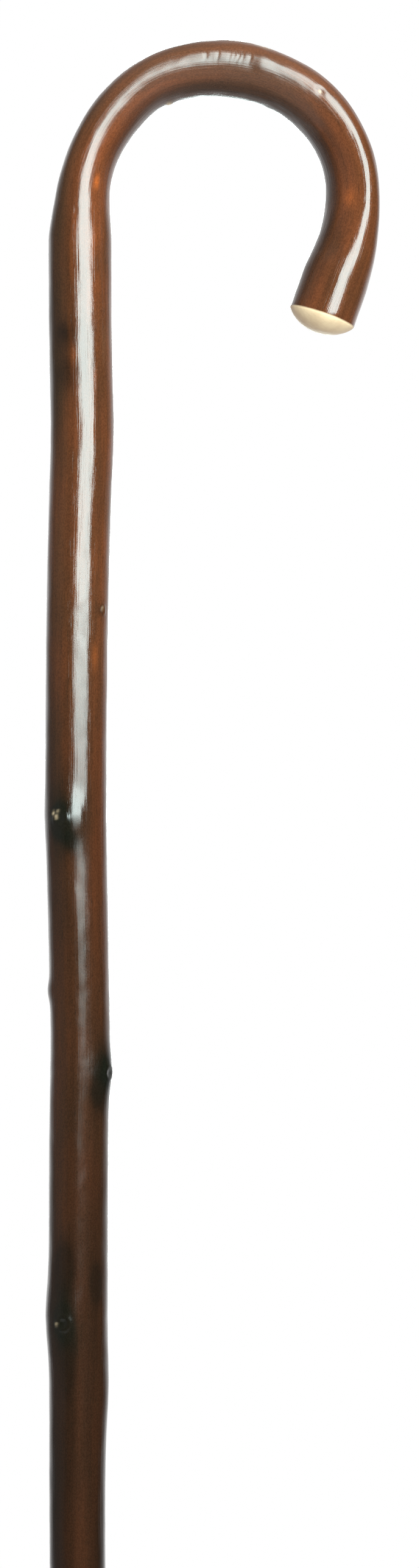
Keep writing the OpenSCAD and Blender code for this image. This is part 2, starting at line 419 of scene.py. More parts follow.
# ---------------------------------------------------------------------------------------------------
# Finishes
# ---------------------------------------------------------------------------------------------------
@dataclass(frozen=True)
class VarnishedWood:
    """Scorched and stained chestnut under gloss varnish, with bare end grain where it is cut.

    The stem's own attributes drive it: "stem" is the place on the unbent stem, "marks" holds the
    scorch, the amber patches with a painted sheen just outside the highlight band, the bare wood with
    painted glints in a knot's eye and, as its alpha, how deep the stain is, which also holds painted
    shade and a painted highlight line, "shade" is how far the bark side turns greenish brown, partly
    its real cast and partly painted shade on the side turned away from the lamp, and "worn" is how
    much handling has dulled the varnish.
    """

    red: str = "703b21"
    brown: str = "55311d"
    deep: str = "22150d"
    # Greenish brown laid over the outer side: partly its real cast, partly painted shade on the side
    # turned away from the lamp.
    olive_and_shade: str = "3f2c18"
    scorch: str = "12130d"
    amber: str = "c0612a"
    cream: str = "ebcca8"
    tan: str = "c89e78"
    gloss: float = 0.07

    def build(self, grain: bpy.types.NodeTree) -> bpy.types.Material:
        """Makes the material.

        Args:
            grain: The wood grain group.

        Returns:
            The material.
        """
        material, graph, shader = new_material("varnished_chestnut")
        stem = graph.add("ShaderNodeAttribute", attribute_name="stem").outputs["Vector"]
        marks = graph.add("ShaderNodeAttribute", attribute_name="marks")
        parts = graph.add("ShaderNodeSeparateColor")
        graph.tree.links.new(marks.outputs["Color"], parts.inputs[0])
        scorched, amber_and_sheen, bare = parts.outputs[0], parts.outputs[1], parts.outputs[2]
        # The stain depth also holds painted shade (towards the foot, under the crook, on the outer side)
        # and a painted highlight line down the lower shaft.
        depth = marks.outputs["Alpha"]
        side = graph.add("ShaderNodeAttribute", attribute_name="shade").outputs["Fac"]
        pattern = graph.add("ShaderNodeGroup", node_tree=grain)
        graph.tree.links.new(stem, pattern.inputs["Stem"])
        masks = pattern.outputs
        tone = graph.mix(masks["Patch"], colour(self.brown), colour(self.red))
        tone = graph.mix(graph.math("MULTIPLY", masks["Streak"], 0.4), tone, colour(self.deep, 1.7))
        # Partly painted shade: darkens the outer side, which is turned away from the lamp, as well as
        # giving it its greenish cast.
        tone = graph.mix(graph.math("MULTIPLY", side, 0.8), tone, colour(self.olive_and_shade))
        tone = graph.mix(depth, tone, colour(self.deep))
        # The amber mask also paints a golden sheen just outside the highlight band.
        tone = graph.mix(graph.math("MULTIPLY", amber_and_sheen, 0.85), tone, colour(self.amber))
        burnt = graph.math("MULTIPLY", scorched, graph.remap(masks["Patch"], 0, 1, 1.0, 0.8))
        tone = graph.mix(burnt, tone, colour(self.scorch))
        tone = graph.mix(graph.math("MULTIPLY", masks["Pore"], 0.3), tone, colour(self.scorch))
        light = graph.math("MULTIPLY", masks["Speckle"], 0.7)
        light = graph.math("ADD", light, graph.math("MULTIPLY", masks["Fibre"], 0.2))
        light = graph.math("SUBTRACT", light, graph.math("MULTIPLY", masks["Groove"], 0.08))
        tone = graph.mix(1.0, tone, graph.remap(light, 0.1, 0.75, 0.84, 1.16), "MULTIPLY")
        cut = graph.mix(masks["Streak"], colour(self.cream), colour(self.tan))
        cut = graph.mix(0.75, cut, colour(self.cream))
        # The bare mask also paints white glints in the eye of the knot at 634 mm.
        tone = graph.mix(bare, tone, cut)
        worn = graph.add("ShaderNodeAttribute", attribute_name="worn").outputs["Fac"]
        rough = graph.math("ADD", self.gloss, graph.math("MULTIPLY", masks["Speckle"], 0.05))
        rough = graph.math("ADD", rough, graph.math("MULTIPLY", worn, 0.17))
        rough = graph.math("ADD", rough, graph.math("MULTIPLY", bare, 0.4))
        raise_by = graph.math("ADD", 0.13, graph.math("MULTIPLY", worn, 0.03))
        relief = graph.math("MULTIPLY", masks["Fibre"], raise_by)
        relief = graph.math("ADD", relief, graph.math("MULTIPLY", masks["Streak"], 0.4))
        relief = graph.math("SUBTRACT", relief, graph.math("MULTIPLY", masks["Groove"], 0.05))
        relief = graph.math("ADD", relief, graph.math("MULTIPLY", masks["Speckle"], 0.03))
        raised = graph.add("ShaderNodeBump")
        graph.feed(raised, Strength=1.0, Distance=0.0001, Height=relief)
        graph.feed(shader, Base_Color=tone, Roughness=rough, Normal=raised.outputs[0], IOR=1.5)
        graph.feed(shader, Coat_Weight=graph.math("SUBTRACT", 0.1, graph.math("MULTIPLY", bare, 0.1)))
        graph.feed(shader, Coat_Roughness=0.24, Coat_IOR=1.5, Specular_IOR_Level=0.5)
        return material


@dataclass(frozen=True)
class MouldedRubber:
    """Matt black moulded rubber, greyed by dust towards the tread."""

    black: str = "292423"
    worn: str = "6b625b"

    def build(self, dust: bpy.types.NodeTree) -> bpy.types.Material:
        """Makes the material.

        Args:
            dust: The dust group.

        Returns:
            The material.
        """
        material, graph, shader = new_material("moulded_rubber")
        place = graph.add("ShaderNodeTexCoord").outputs["Object"]
        dusty = graph.add("ShaderNodeGroup", node_tree=dust)
        graph.feed(dusty, Place=place, Top=0.022)
        mottle = graph.remap(graph.noise(place, (420, 420, 420), 5, 0.6), 0.3, 0.7)
        body = graph.mix(mottle, colour(self.black, 0.85), colour(self.black, 1.1))
        body = graph.mix(graph.math("MULTIPLY", dusty.outputs["Dust"], 0.7), body, colour(self.worn))
        pimples = graph.noise(place, (1900, 1900, 1900), 2, 0.6)
        raised = graph.add("ShaderNodeBump")
        graph.feed(raised, Strength=0.4, Distance=0.00015, Height=pimples)
        rough = graph.math("ADD", 0.52, graph.math("MULTIPLY", mottle, 0.16))
        graph.feed(shader, Base_Color=body, Roughness=rough, Normal=raised.outputs[0])
        graph.feed(shader, Specular_IOR_Level=0.4)
        return material


@dataclass(frozen=True)
class PlatedSteel:
    """Dull zinc-plated steel, turned in fine rings."""

    zinc: str = "b4b5b0"
    stain: str = "83807a"

    def build(self) -> bpy.types.Material:
        """Makes the material.

        Returns:
            The material.
        """
        material, graph, shader = new_material("plated_steel")
        place = graph.add("ShaderNodeTexCoord").outputs["Object"]
        flat = graph.add("ShaderNodeVectorMath", operation="MULTIPLY")
        graph.tree.links.new(place, flat.inputs[0])
        flat.inputs[1].default_value = (1, 1, 0)
        span = graph.add("ShaderNodeVectorMath", operation="LENGTH")
        graph.tree.links.new(flat.outputs[0], span.inputs[0])
        rings = graph.math("SINE", graph.math("MULTIPLY", span.outputs["Value"], 16000.0))
        blotch = graph.remap(graph.noise(place, (300, 300, 300), 4, 0.6), 0.35, 0.7)
        raised = graph.add("ShaderNodeBump")
        graph.feed(raised, Strength=0.25, Distance=0.00004, Height=rings)
        body = graph.mix(blotch, colour(self.zinc), colour(self.stain))
        rough = graph.math("ADD", 0.3, graph.math("MULTIPLY", blotch, 0.2))
        graph.feed(shader, Base_Color=body, Roughness=rough, Metallic=1.0, Normal=raised.outputs[0])
        return material


# ---------------------------------------------------------------------------------------------------
# The stick
# ---------------------------------------------------------------------------------------------------
@dataclass(frozen=True)
class Bend:
    """One arc of the crook: its radius, and how far it turns."""

    radius: float
    turn: float

    @property
    def length(self) -> float:
        """Length of the arc."""
        return self.radius * math.radians(self.turn)


class Mark(Enum):
    """What a knot looks like."""

    SWELLING = "a smooth rise of the stem, with no mark"
    SCORCHED = "a rise that the maker's flame has blackened, with a small eye"
    BUD = "a small sharp bud with a dark rim"


@dataclass(frozen=True)
class Knot:
    """A knot or swelling: where it is, how high and wide it rises, and how it is marked.

    Attributes:
        place: Distance along the stem from the ground, in mm.
        angle: Angle round the stem, in degrees: 0 is the crook's inner side, -90 the front.
        height: Rise in mm.
        reach: Half length in mm.
        spread: Half width in degrees.
        mark: How it looks.
    """

    place: float
    angle: float
    height: float
    reach: float
    spread: float
    mark: Mark = Mark.SWELLING

    def bell(self, place: np.ndarray, angle: np.ndarray, reach: float, spread: float) -> np.ndarray:
        """A bell round the knot's middle, with a half length in mm and a half width in degrees."""
        return bump(place, self.place, reach) * bump(turn_gap(angle, self.angle), 0, spread)

    def relief(self, place: np.ndarray, angle: np.ndarray) -> np.ndarray:
        """Height of the knot: a bell, with a small ringed eye on a scorched knot or a bud.

        Args:
            place: Places along the stem.
            angle: Angles round it.

        Returns:
            The height at each place and angle, in mm.
        """
        rise = self.height * self.bell(place, angle, self.reach, self.spread)
        if self.mark is Mark.SWELLING:
            return rise
        eye = 2.2 if self.mark is Mark.SCORCHED else 1.4
        round_it = np.hypot((place - self.place) / eye, turn_gap(angle, self.angle) / (eye * 5.5))
        lip = 0.28 * np.exp(-(((round_it - 1) / 0.42) ** 2))
        hole = 0.3 * np.exp(-((round_it / 0.6) ** 2))
        return rise + lip - hole

    def scorch(self, place: np.ndarray, angle: np.ndarray) -> np.ndarray:
        """Darkness of the scorch round the knot: a soft long blot with a denser middle.

        Args:
            place: Places along the stem.
            angle: Angles round it.

        Returns:
            The darkness at each place and angle, 0 for none.
        """
        if self.mark is Mark.SWELLING:
            return np.zeros(np.broadcast(place, angle).shape)
        if self.mark is Mark.BUD:
            return 0.7 * self.bell(place, angle, 2.5, 13)
        return 1.15 * self.bell(place, angle, 12, 36) + 0.5 * self.bell(place, angle, 5, 14)


@dataclass(frozen=True)
class Spot:
    """A soft spot on the skin of the wood.

    Attributes:
        place: Distance along the stem from the ground, in mm.
        angle: Angle round the stem, in degrees: 0 is the crook's inner side, -90 the front.
        reach: Half length in mm.
        spread: Half width in degrees.
        strength: Its value in the middle.
    """

    place: float
    angle: float
    reach: float
    spread: float
    strength: float

    def bell(self, place: np.ndarray, angle: np.ndarray) -> np.ndarray:
        """The spot's value at each place and angle: a bell curve both ways."""
        across = bump(turn_gap(angle, self.angle), 0, self.spread)
        return self.strength * bump(place, self.place, self.reach) * across


@dataclass
class BentStick:
    """The wood: a shaft, a crook bent in one plane and a domed nose, all one piece.

    Every place is a distance along the middle line, counted from the ground, and an angle round it:
    0 is the side that faces the crook's middle, 90 the back and -90 the front. A table is a row of
    pairs of a place and a value there, which a smooth curve joins.

    Attributes:
        crook_z: Height at which the crook starts.
        bends: The crook's arcs, in order from the shaft.
        nose: Length of the straight end after the last arc.
        dome: Height of the nose's dome.
        top_d, foot_d, nose_d, seat_d: Thickness under the crook, over the ferrule, at the nose's rim,
            and of the turned seat in the ferrule.
        wood_z: Height at which the turned seat ends and the full thickness starts.
        seat_chamfer, seat_bare: Chamfer round the foot of the seat, and how bare its wood is.
        crown_rise: How far the wood's top is above crook_z.
        reveal: How far wood_z is above the ferrule's top.
        rim_edge: Width of the soft edge round the nose.
        around, rings, dome_rings: How many points a ring has, and rings the body and the dome have.
        bow_x, bow_y: Bow of the shaft's middle line, by share of crook_z.
        taper: How far the shaft has grown from foot_d to top_d, by share of crook_z.
        crook_w, crook_d: Thickness of the crook in its plane and from front to back, as a share of
            top_d, by place past crook_z.
        sag: Shift of the skin towards the crook's inner side, by place past crook_z.
        lean: Sine of the angle by which the section leans, by place past crook_z.
        facet, facet_angle: Rise of the ridge along the front, below 0 for a flat, and its angle.
        stain: Depth of the dark stain, by share of crook_z; its deepening towards the foot is partly
            painted
        shade for the light fading lower down.
        painted_inner_shade, outer_stain_and_shade: More of the dark on the crook's inner side, which is
        painted shade under the crook, and on the outer side, partly a deeper stain and partly painted
        shade on the side turned away from the lamp.
        olive_and_shade: How far the outer side turns greenish brown, by place: partly its real cast,
            partly
        painted shade on the side turned away from the lamp.
        worn: How much handling has dulled the varnish.
        blots, chips_and_glints, ambers, golden_sheens: Dark blots; spots of bare wood, among them painted
        glints in the eye of the knot at 634 mm; amber spots; and golden streaks just outside the
        highlight band, a painted sheen.
        pit: A small dent in the fall of the crook.
        wrinkles_at, wrinkle_angle: Where bending has wrinkled the crown.
        rough_at: Where the skin is uneven: place, reach and share.
        fine_at: Where the rings stand closer: place, reach and how much closer.
        knots: The knots and swellings.
    """

    crook_z: float = 840
    bends: tuple = (Bend(250, 4), Bend(55, 44), Bend(38, 26), Bend(57, 42), Bend(43.5, 61), Bend(68, 23))
    nose: float = 21.4
    dome: float = 6.1
    top_d: float = 22.9
    foot_d: float = 19.8
    nose_d: float = 23.9
    seat_d: float = 19
    wood_z: float = 39
    seat_chamfer: float = 1
    seat_bare: float = 0.2
    crown_rise: float = 75.17
    reveal: float = 1
    rim_edge: float = 0.25
    around: int = 144
    rings: int = 640
    dome_rings: int = 24
    bow_x: tuple = (
        (0.00, 0), (0.07, 0), (0.18, 0.3), (0.30, -0.1), (0.40, -0.6), (0.46, -1.0), (0.52, -0.6),
        (0.58, -0.6), (0.63, -0.3), (0.66, 0.1), (0.72, -0.8), (0.76, -1.4), (0.82, -1.2),
        (0.88, -0.3), (0.92, 0.6), (0.96, 0.2), (1.00, 0),
    )
    bow_y: tuple = (
        (0.00, 0), (0.07, 0), (0.30, 0.9), (0.52, 0.2), (0.74, -0.8), (0.90, 0.3), (1.00, 0),
    )
    taper: tuple = (
        (0.00, 0), (0.15, 0.02), (0.35, 0.16), (0.46, 0.15), (0.53, 0.45), (0.66, 0.55),
        (0.78, 0.75), (0.86, 0.86), (0.94, 0.95), (1.00, 1),
    )
    crook_w: tuple = (
        (0, 1), (5, 0.99), (20, 0.85), (34, 0.785), (50, 0.78), (66, 0.765), (78, 0.81), (92, 0.86),
        (101, 0.88), (116, 0.845), (132, 0.835), (146, 0.81), (158, 0.82), (170, 0.85),
        (182, 0.915), (192, 1), (201, 1.05),
    )
    crook_d: tuple = ((0, 1), (25, 0.96), (60, 0.95), (110, 0.95), (160, 0.96), (185, 0.98), (201, 1.03))
    sag: tuple = (
        (-840, 0), (-780, 0.18), (0, 0.25), (22, 0.5), (40, 0.6), (52, 0.5), (66, 0.2), (80, 0.12),
        (100, 0.18), (122, 0.36), (145, 0.38), (160, 0.25), (180, 0.15), (195, -0.12), (212, -0.3),
    )
    lean: tuple = (
        (-8, 0), (8, 0.02), (20, 0.05), (34, 0.1), (45, 0.13), (63, 0.14), (80, 0.16), (100, 0.15),
        (120, 0.17), (135, 0.29), (150, 0.39), (162, 0.46), (171, 0.45), (180, 0.35), (189, 0.26),
        (198, 0.14),
    )
    facet: tuple = (
        (0, -0.1), (560, -0.1), (600, 0), (650, -0.22), (840, -0.25), (865, -0.08), (900, 0), (930, 0.1),
        (946, 0.3), (984, 0.45), (1000, 0.42), (1020, 0.5), (1054, 0.65),
    )
    facet_angle: tuple = (
        (640, -84), (720, -91), (770, -88), (840, -82), (870, -92), (900, -107), (930, -115),
        (975, -122), (1000, -125), (1020, -114), (1034, -105), (1054, -102),
    )
    # Deeper towards the foot, partly as painted shade for the light fading lower down the shaft.
    stain: tuple = (
        (0.00, 0.96), (0.46, 0.95), (0.50, 0.92), (0.57, 0.84), (0.61, 0.77), (0.66, 0.69), (0.73, 0.68),
        (0.79, 0.5), (0.83, 0.2), (0.87, 0.04), (0.90, 0.12), (0.95, 0.15), (1.00, 0.16),
    )
    # Painted shade under the crook, on its inner side.
    painted_inner_shade: tuple = (
        (0, 0), (845, 0), (870, 0.2), (890, 0.4), (920, 0.34), (950, 0.3), (980, 0.4), (1035, 0.42),
        (1054, 0.3),
    )
    # Deeper on the outer side of the upper shaft and shoulder: partly painted shade on the side turned
    # away from the lamp.
    outer_stain_and_shade: tuple = (
        (0, 0), (600, 0), (690, 0.14), (770, 0.24), (800, 0.34), (850, 0.28), (880, 0.05), (1054, 0),
    )
    # How far the outer side turns greenish brown: partly its real cast, partly painted shade on the side
    # away from the lamp.
    olive_and_shade: tuple = (
        (0, 0.6), (690, 0.6), (720, 0.9), (750, 0.7), (785, 1.5), (840, 1.4), (880, 0.8), (1054, 0.3),
    )
    worn: tuple = (
        (0, 0.25), (560, 0.25), (625, 0.3), (700, 0.1), (850, 0.1), (872, 0.5), (905, 1.2), (925, 0.9),
        (945, 1.2), (968, 1.3), (985, 0.6), (1003, 0.2), (1054, 0.2),
    )
    blots: tuple = (
        Spot(822, -165, 10, 30, 0.3), Spot(807.5, -122, 5.2, 26, 0.46), Spot(793.5, -119, 5.8, 25, 0.48),
        Spot(626, -98, 4, 14, 0.5), Spot(539, -47, 8.5, 17, 0.7), Spot(473, -118, 9, 20, 0.4),
        Spot(467, -50, 6, 12, 0.5), Spot(436, -110, 9, 22, 0.15),
    )
    # Spots of bare wood; the three at 634.6 to 636.4 mm are painted glints in the knot's eye.
    chips_and_glints: tuple = (
        Spot(971.1, -111, 0.45, 2.2, 0.9), Spot(948.5, -158, 2, 9, 0.3), Spot(911.5, 0, 1.4, 10, 1),
        Spot(709.5, -37, 0.5, 3, 0.35), Spot(636.4, -121, 0.4, 3, 0.5), Spot(635.9, -131, 0.6, 3, 0.7),
        Spot(634.6, -124, 0.5, 3, 0.7), Spot(452.4, -130, 0.5, 3, 0.45),
    )
    ambers: tuple = (
        Spot(1010.5, -82, 3.5, 13, 0.26), Spot(863.5, -60, 2.4, 6, 0.8), Spot(842, -58, 5, 8, 0.1),
        Spot(826, -56, 4, 7, 0.1), Spot(800.5, -99, 2.4, 6, 0.1), Spot(692, -52, 5, 7, 0.2),
    )
    # Painted sheen: golden streaks just outside the highlight band's two edges.
    golden_sheens: tuple = (Spot(805, -65, 32, 7, 1), Spot(825, -101, 38, 8, 0.4))
    pit: Spot = Spot(971, -113, 1.6, 8, 0.42)
    wrinkles_at: tuple = (929, 933.5, 937.5, 938.7, 940.3, 941.7, 944.5)
    wrinkle_angle: float = -114
    rough_at: tuple = ((962, 22, 1), (910, 30, 0.5))
    fine_at: tuple = ((937, 10, 3.5), (971, 4, 3))
    knots: tuple = (
        Knot(949, -115, 0.55, 2.8, 25),
        Knot(912, 0, 0.45, 2.2, 14),
        Knot(775, 0, 0.35, 20, 60),
        Knot(803, -112, 0.22, 4, 16),
        Knot(709, -37, 0.25, 5, 20, Mark.BUD),
        Knot(634, -117, 0.9, 8.5, 36, Mark.SCORCHED),
        Knot(633.5, -88, 0.5, 7, 24),
        Knot(635, 180, 0.3, 14, 50),
        Knot(571.6, 180, 0.75, 3.8, 30),
        Knot(542.5, -26, 1.45, 8.5, 34, Mark.SCORCHED),
        Knot(455, -150, 0.9, 14, 55),
        Knot(453, -117, 0.3, 9, 25, Mark.SCORCHED),
        Knot(453, 180, 0.5, 15, 40),
        Knot(427, 0, 0.6, 12, 50),
        Knot(286, 75, 0.7, 12, 35, Mark.SCORCHED),
        Knot(181, -60, 0.6, 12, 35, Mark.SCORCHED),
        Knot(101, 150, 0.5, 12, 35, Mark.SCORCHED),
    )
    rim: float = field(init=False)

    def __post_init__(self) -> None:
        """Works out where the nose's rim is."""
        self.rim = self.crook_z + sum(bend.length for bend in self.bends) + self.nose

    @classmethod
    def from_model(cls) -> "BentStick":
        """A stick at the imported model's heights.

        Returns:
            The stick whose crook starts crown_rise below the CAD wood's top, and whose full thickness
            starts one reveal above the CAD ferrule's top.
        """
        top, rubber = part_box("stick")[1].z / MM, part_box("ferrule_rubber")[1].z / MM
        return cls(crook_z=round(top - cls.crown_rise, 2), wood_z=round(rubber + cls.reveal, 2))

    @property
    def seat_end(self) -> float:
        """Height of the wood's lower end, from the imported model."""
        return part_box("stick")[0].z / MM

    def middle(self, place: np.ndarray) -> tuple[np.ndarray, np.ndarray, np.ndarray, np.ndarray]:
        """The middle line: a bowed shaft, then arcs joined end to end, then a straight nose.

        Along an arc that turns clockwise by an angle t from heading h, a point moves by the radius
        times (sin h - sin(h - t), cos(h - t) - cos h).

        Args:
            place: Distances along the line.

        Returns:
            X, Y and Z, and the heading in radians from +X.
        """
        share = place / self.crook_z
        x = through(self.bow_x, share)
        y = np.where(share < 1, through(self.bow_y, share), 0)
        z = np.minimum(place, self.crook_z)
        heading = np.full(place.shape, math.pi / 2)
        start_x, start_z, start_h, begun = 0.0, self.crook_z, math.pi / 2, self.crook_z
        for bend in self.bends:
            inside = place >= begun
            turned = start_h - np.clip(place - begun, 0, bend.length) / bend.radius
            x = np.where(inside, start_x + bend.radius * (math.sin(start_h) - np.sin(turned)), x)
            z = np.where(inside, start_z - bend.radius * (math.cos(start_h) - np.cos(turned)), z)
            heading = np.where(inside, turned, heading)
            end_h = start_h - math.radians(bend.turn)
            start_x += bend.radius * (math.sin(start_h) - math.sin(end_h))
            start_z -= bend.radius * (math.cos(start_h) - math.cos(end_h))
            start_h, begun = end_h, begun + bend.length
        beyond = np.maximum(place - begun, 0)
        return x + beyond * math.cos(start_h), y, z + beyond * math.sin(start_h), heading

    def widths(self, place: np.ndarray) -> tuple[np.ndarray, np.ndarray]:
        """Thickness of the wood, which swells a little towards the nose.

        Args:
            place: Distances along the middle line.

        Returns:
            The diameter across the crook's plane, and the one from front to back.
        """
        shaft = self.foot_d + (self.top_d - self.foot_d) * through(self.taper, place / self.crook_z)
        past = place - self.crook_z
        swell_from, nose_share = 170, self.crook_d[-1][1]
        grown = np.clip((past - swell_from) / (self.rim - self.crook_z - swell_from), 0, 1)
        swell = 1 + (self.nose_d / self.top_d / nose_share - 1) * grown
        across = np.where(past < 0, shaft, self.top_d * through(self.crook_w, past) * swell)
        deep = np.where(past < 0, shaft, self.top_d * through(self.crook_d, past) * swell)
        return across, deep

    def places(self) -> np.ndarray:
        """Places of the rings: closer together round the sharp knots and in the crook.

        The rings stand at equal steps of a running total of closeness, which is 1 on plain wood.

        Returns:
            The places, from where the full thickness starts to the nose's rim.
        """
        fine = np.linspace(self.wood_z, self.rim, 4000)
        close = np.ones(fine.shape) + 0.5 * (fine > self.crook_z)
        sharp, around_knot, closer = 4, 7, 1.6
        for knot in self.knots:
            if knot.mark is not Mark.SWELLING or knot.reach < sharp:
                close += closer * bump(fine, knot.place, around_knot)
        for place, reach, more in self.fine_at:
            close += more * bump(fine, place, reach)
        total = np.concatenate([[0], np.cumsum((close[1:] + close[:-1]) / 2)])
        return np.interp(np.linspace(0, total[-1], self.rings), total, fine)

    def relief(self, place: np.ndarray, angle: np.ndarray) -> np.ndarray:
        """Height of the skin over its plain oval section, in mm.

        It adds up the knots, the lengthwise ripples of the bark side, slow waves, the wrinkles that
        bending leaves on the crown, a small pit with a raised rim, a flat or a ridge along the front,
        and the uneven skin of the shoulder and the fall.

        Args:
            place: Places along the wood.
            angle: Angles round it.

        Returns:
            The height at each place and angle.
        """
        total = np.zeros(np.broadcast(place, angle).shape)
        for knot in self.knots:
            total += knot.relief(place, angle)
        total += 0.045 * ripples(place, angle, (5, 7, 9, 12, 14, 17, 21, 24, 29), 45, 11)
        total += 0.05 * ripples(place, angle, (2, 3, 4), 90, 23)
        total += 0.07 * ripples(place, angle, (5, 8, 11), 13, 77)
        total += self.wrinkles(place, angle)
        pit = self.pit
        out = np.hypot((place - pit.place) / pit.reach, turn_gap(angle, pit.angle) / pit.spread)
        total += 0.03 * bump(out, 1.5, 0.5) - pit.strength * bump(out, 0, 1)
        ridge = turn_gap(angle, through(self.facet_angle, place))
        total += through(self.facet, place) * bump(ridge, 0, 25)
        rough = sum(share * bump(place, at, reach) for at, reach, share in self.rough_at)
        total += 0.07 * rough * ripples(place, angle, (9, 13, 17, 23), 9, 31)
        return total

    def wrinkles(self, place: np.ndarray, angle: np.ndarray) -> np.ndarray:
        """Cross wrinkles on the crown: sharp narrow dips that wander across the outer front side.

        Args:
            place: Places along the wood.
            angle: Angles round it.

        Returns:
            Their height at each place and angle, in mm, which is 0 or less.
        """
        rng = np.random.default_rng(5)
        aside = turn_gap(angle, self.wrinkle_angle)
        width, spread = 0.45, 17
        total = np.zeros(np.broadcast(place, angle).shape)
        for start in self.wrinkles_at:
            lean, sway, depth = rng.uniform(-0.02, 0.02), rng.uniform(0.2, 0.6), rng.uniform(0.09, 0.22)
            line = start + lean * aside + sway * np.sin(np.radians(angle * 9))
            total -= depth * bump(place - line, 0, width) * bump(aside, 0, spread)
        return total

    def stained(self, place: np.ndarray, angle: np.ndarray, ragged: np.ndarray) -> np.ndarray:
        """How deep the dark stain is, with painted shade and a painted highlight worked into it.

        It is the stain's table with slow ripples, which deepens towards the foot partly as painted shade
        for the light fading lower down; deeper on the crook's inner side, which is painted shade under
        the crook; deeper on the outer side, partly painted shade on the side turned away from the lamp;
        deeper in the blots; and thinner in a line along the front of the lower shaft, which is a painted
        highlight where the lamps' reflection runs down it.

        Args:
            place: Places along the wood.
            angle: Angles round it.
            ragged: What the blots are multiplied by, about 1.

        Returns:
            The depth, 0 for none and 1 for all.
        """
        inwards = np.cos(np.radians(angle))
        height = np.minimum(place, self.crook_z) / self.crook_z
        # The stain deepens towards the foot, partly as painted shade for the light fading lower down.
        deep = through(self.stain, height) + 0.08 * ripples(place, angle, (2, 3, 5), 120, 7)
        # Painted shade under the crook's inner side.
        deep += through(self.painted_inner_shade, place) * step(inwards, 0.3, 0.85)
        # Partly painted shade on the outer side, turned away from the lamp.
        deep += through(self.outer_stain_and_shade, place) * step(-inwards, -0.05, 0.35)
        # Painted highlight: a paler line where the lamps' reflection runs down the lower shaft.
        deep -= 0.16 * bump(turn_gap(angle, -84), 0, 13) * step(-place, -600, -520)
        return deep + sum(blot.bell(place, angle) for blot in self.blots) * ragged

    def marks(self, place: np.ndarray, angle: np.ndarray, bare: np.ndarray) -> np.ndarray:
        """Colour masks of the skin: scorch; amber, with a painted sheen beside the highlight; bare wood,
        with painted glints in a knot's eye; and depth of stain, with painted shade and a painted
        highlight line.

        Args:
            place: Places along the wood.
            angle: Angles round it.
            bare: 1 where the wood is cut and unstained.

        Returns:
            Four masks from 0 to 1 in the last axis.
        """
        ragged = 1 + 0.5 * ripples(place, angle, (3, 5, 8, 13), 14, 41)
        scorched = sum(knot.scorch(place, angle) for knot in self.knots)
        fallen = step(-np.cos(np.radians(angle)), 0.1, 0.7) * bump(place, self.crook_z + 110, 45)
        # Painted sheen beside the highlight band, added to the amber mask.
        golden_sheen = sum(streak.bell(place, angle) for streak in self.golden_sheens)
        broken = step(ripples(place, angle, (11, 17, 23), 30, 71), -0.2, 0.5)
        amber_and_sheen = sum(spot.bell(place, angle) for spot in self.ambers)
        amber_and_sheen += 0.09 * fallen + 0.22 * golden_sheen * broken
        # Painted glints in a knot's eye are added here along with the real bare chips.
        bare = bare + sum(pale_spot.bell(place, angle) for pale_spot in self.chips_and_glints)
        masks = [scorched * ragged, amber_and_sheen * ragged, bare, self.stained(place, angle, ragged)]
        return np.clip(np.stack(masks, -1), 0, 1)

    def shade(self, place: np.ndarray, angle: np.ndarray) -> np.ndarray:
        """How far the skin turns greenish brown, from 0 to 1: most on the outer side, in blotches along
        the stem; partly a real cast, partly painted shade on the side turned away from the lamp.

        Args:
            place: Places along the wood.
            angle: Angles round it.

        Returns:
            The share of that greenish brown at each place and angle, with a last axis of 1.
        """
        # Partly painted shade: the outer side, turned away from the lamp, gets the most of it.
        outer = step(-np.cos(np.radians(angle)), 0.1, 0.8)
        blotch = 0.45 + 0.4 * ripples(place, angle, (1, 2, 3, 4), 60, 61)
        total = outer * blotch * through(self.olive_and_shade, place)
        return np.clip(total, 0, 1)[..., None]

    def build(self) -> bpy.types.Object:
        """Makes the wood: seat, shaft, crook and dome as one closed skin with its attributes.

        A point stands at the middle line plus the across radius times cos(angle) on the inner side
        and the depth radius times sin(angle + lean) towards the back. Over the dome the section
        shrinks with its height h by the square root of 1 - h^(4/3), between a parabola and an ellipse.

        Returns:
            The new object.
        """
        low = self.seat_end
        seat = np.array([low, low + self.seat_chamfer, *np.linspace(low + 3, self.wood_z, 12)])
        seat_r = np.full(len(seat), self.seat_d / 2)
        seat_r[0] -= self.seat_chamfer
        body = self.places()
        body[-1] = self.rim - self.rim_edge
        rise = np.sin(np.linspace(0, math.pi / 2, self.dome_rings + 2))[1:-1]
        counts = (len(seat), len(body), len(rise))
        on_seat = np.repeat((1.0, 0.0, 0.0), counts)[:, None]
        on_dome = np.repeat((0.0, 0.0, 1.0), counts)[:, None]
        place = np.concatenate([seat, body, np.full(len(rise), self.rim)])[:, None]
        level = np.zeros(len(seat) + len(body))
        shrink = np.sqrt(1 - np.concatenate([level, rise]) ** (4 / 3))[:, None]
        beyond = np.concatenate([level, rise * self.dome])[:, None]
        angle = np.arange(self.around)[None, :] * 360 / self.around
        x, y, z, heading = self.middle(place)
        half_w, half_d = (width / 2 for width in self.widths(place))
        half_w[:len(seat), 0] = half_d[:len(seat), 0] = seat_r
        height = self.relief(place, angle) * (1 - on_seat)
        past = place - self.crook_z
        out = (half_w + height) * np.cos(np.radians(angle)) * shrink + through(self.sag, past)
        lean = np.arcsin(through(self.lean, past)) * (1 - on_seat)
        back = (half_d + height) * np.sin(np.radians(angle) + lean) * shrink
        x = x + beyond * np.cos(heading)
        z = z + beyond * np.sin(heading)
        points = np.stack([x + out * np.sin(heading), y + back, z - out * np.cos(heading)], -1) * MM
        piece = tube("bent_stick", points)
        stem = np.stack([out, back, place + beyond + 0 * out], -1) * MM
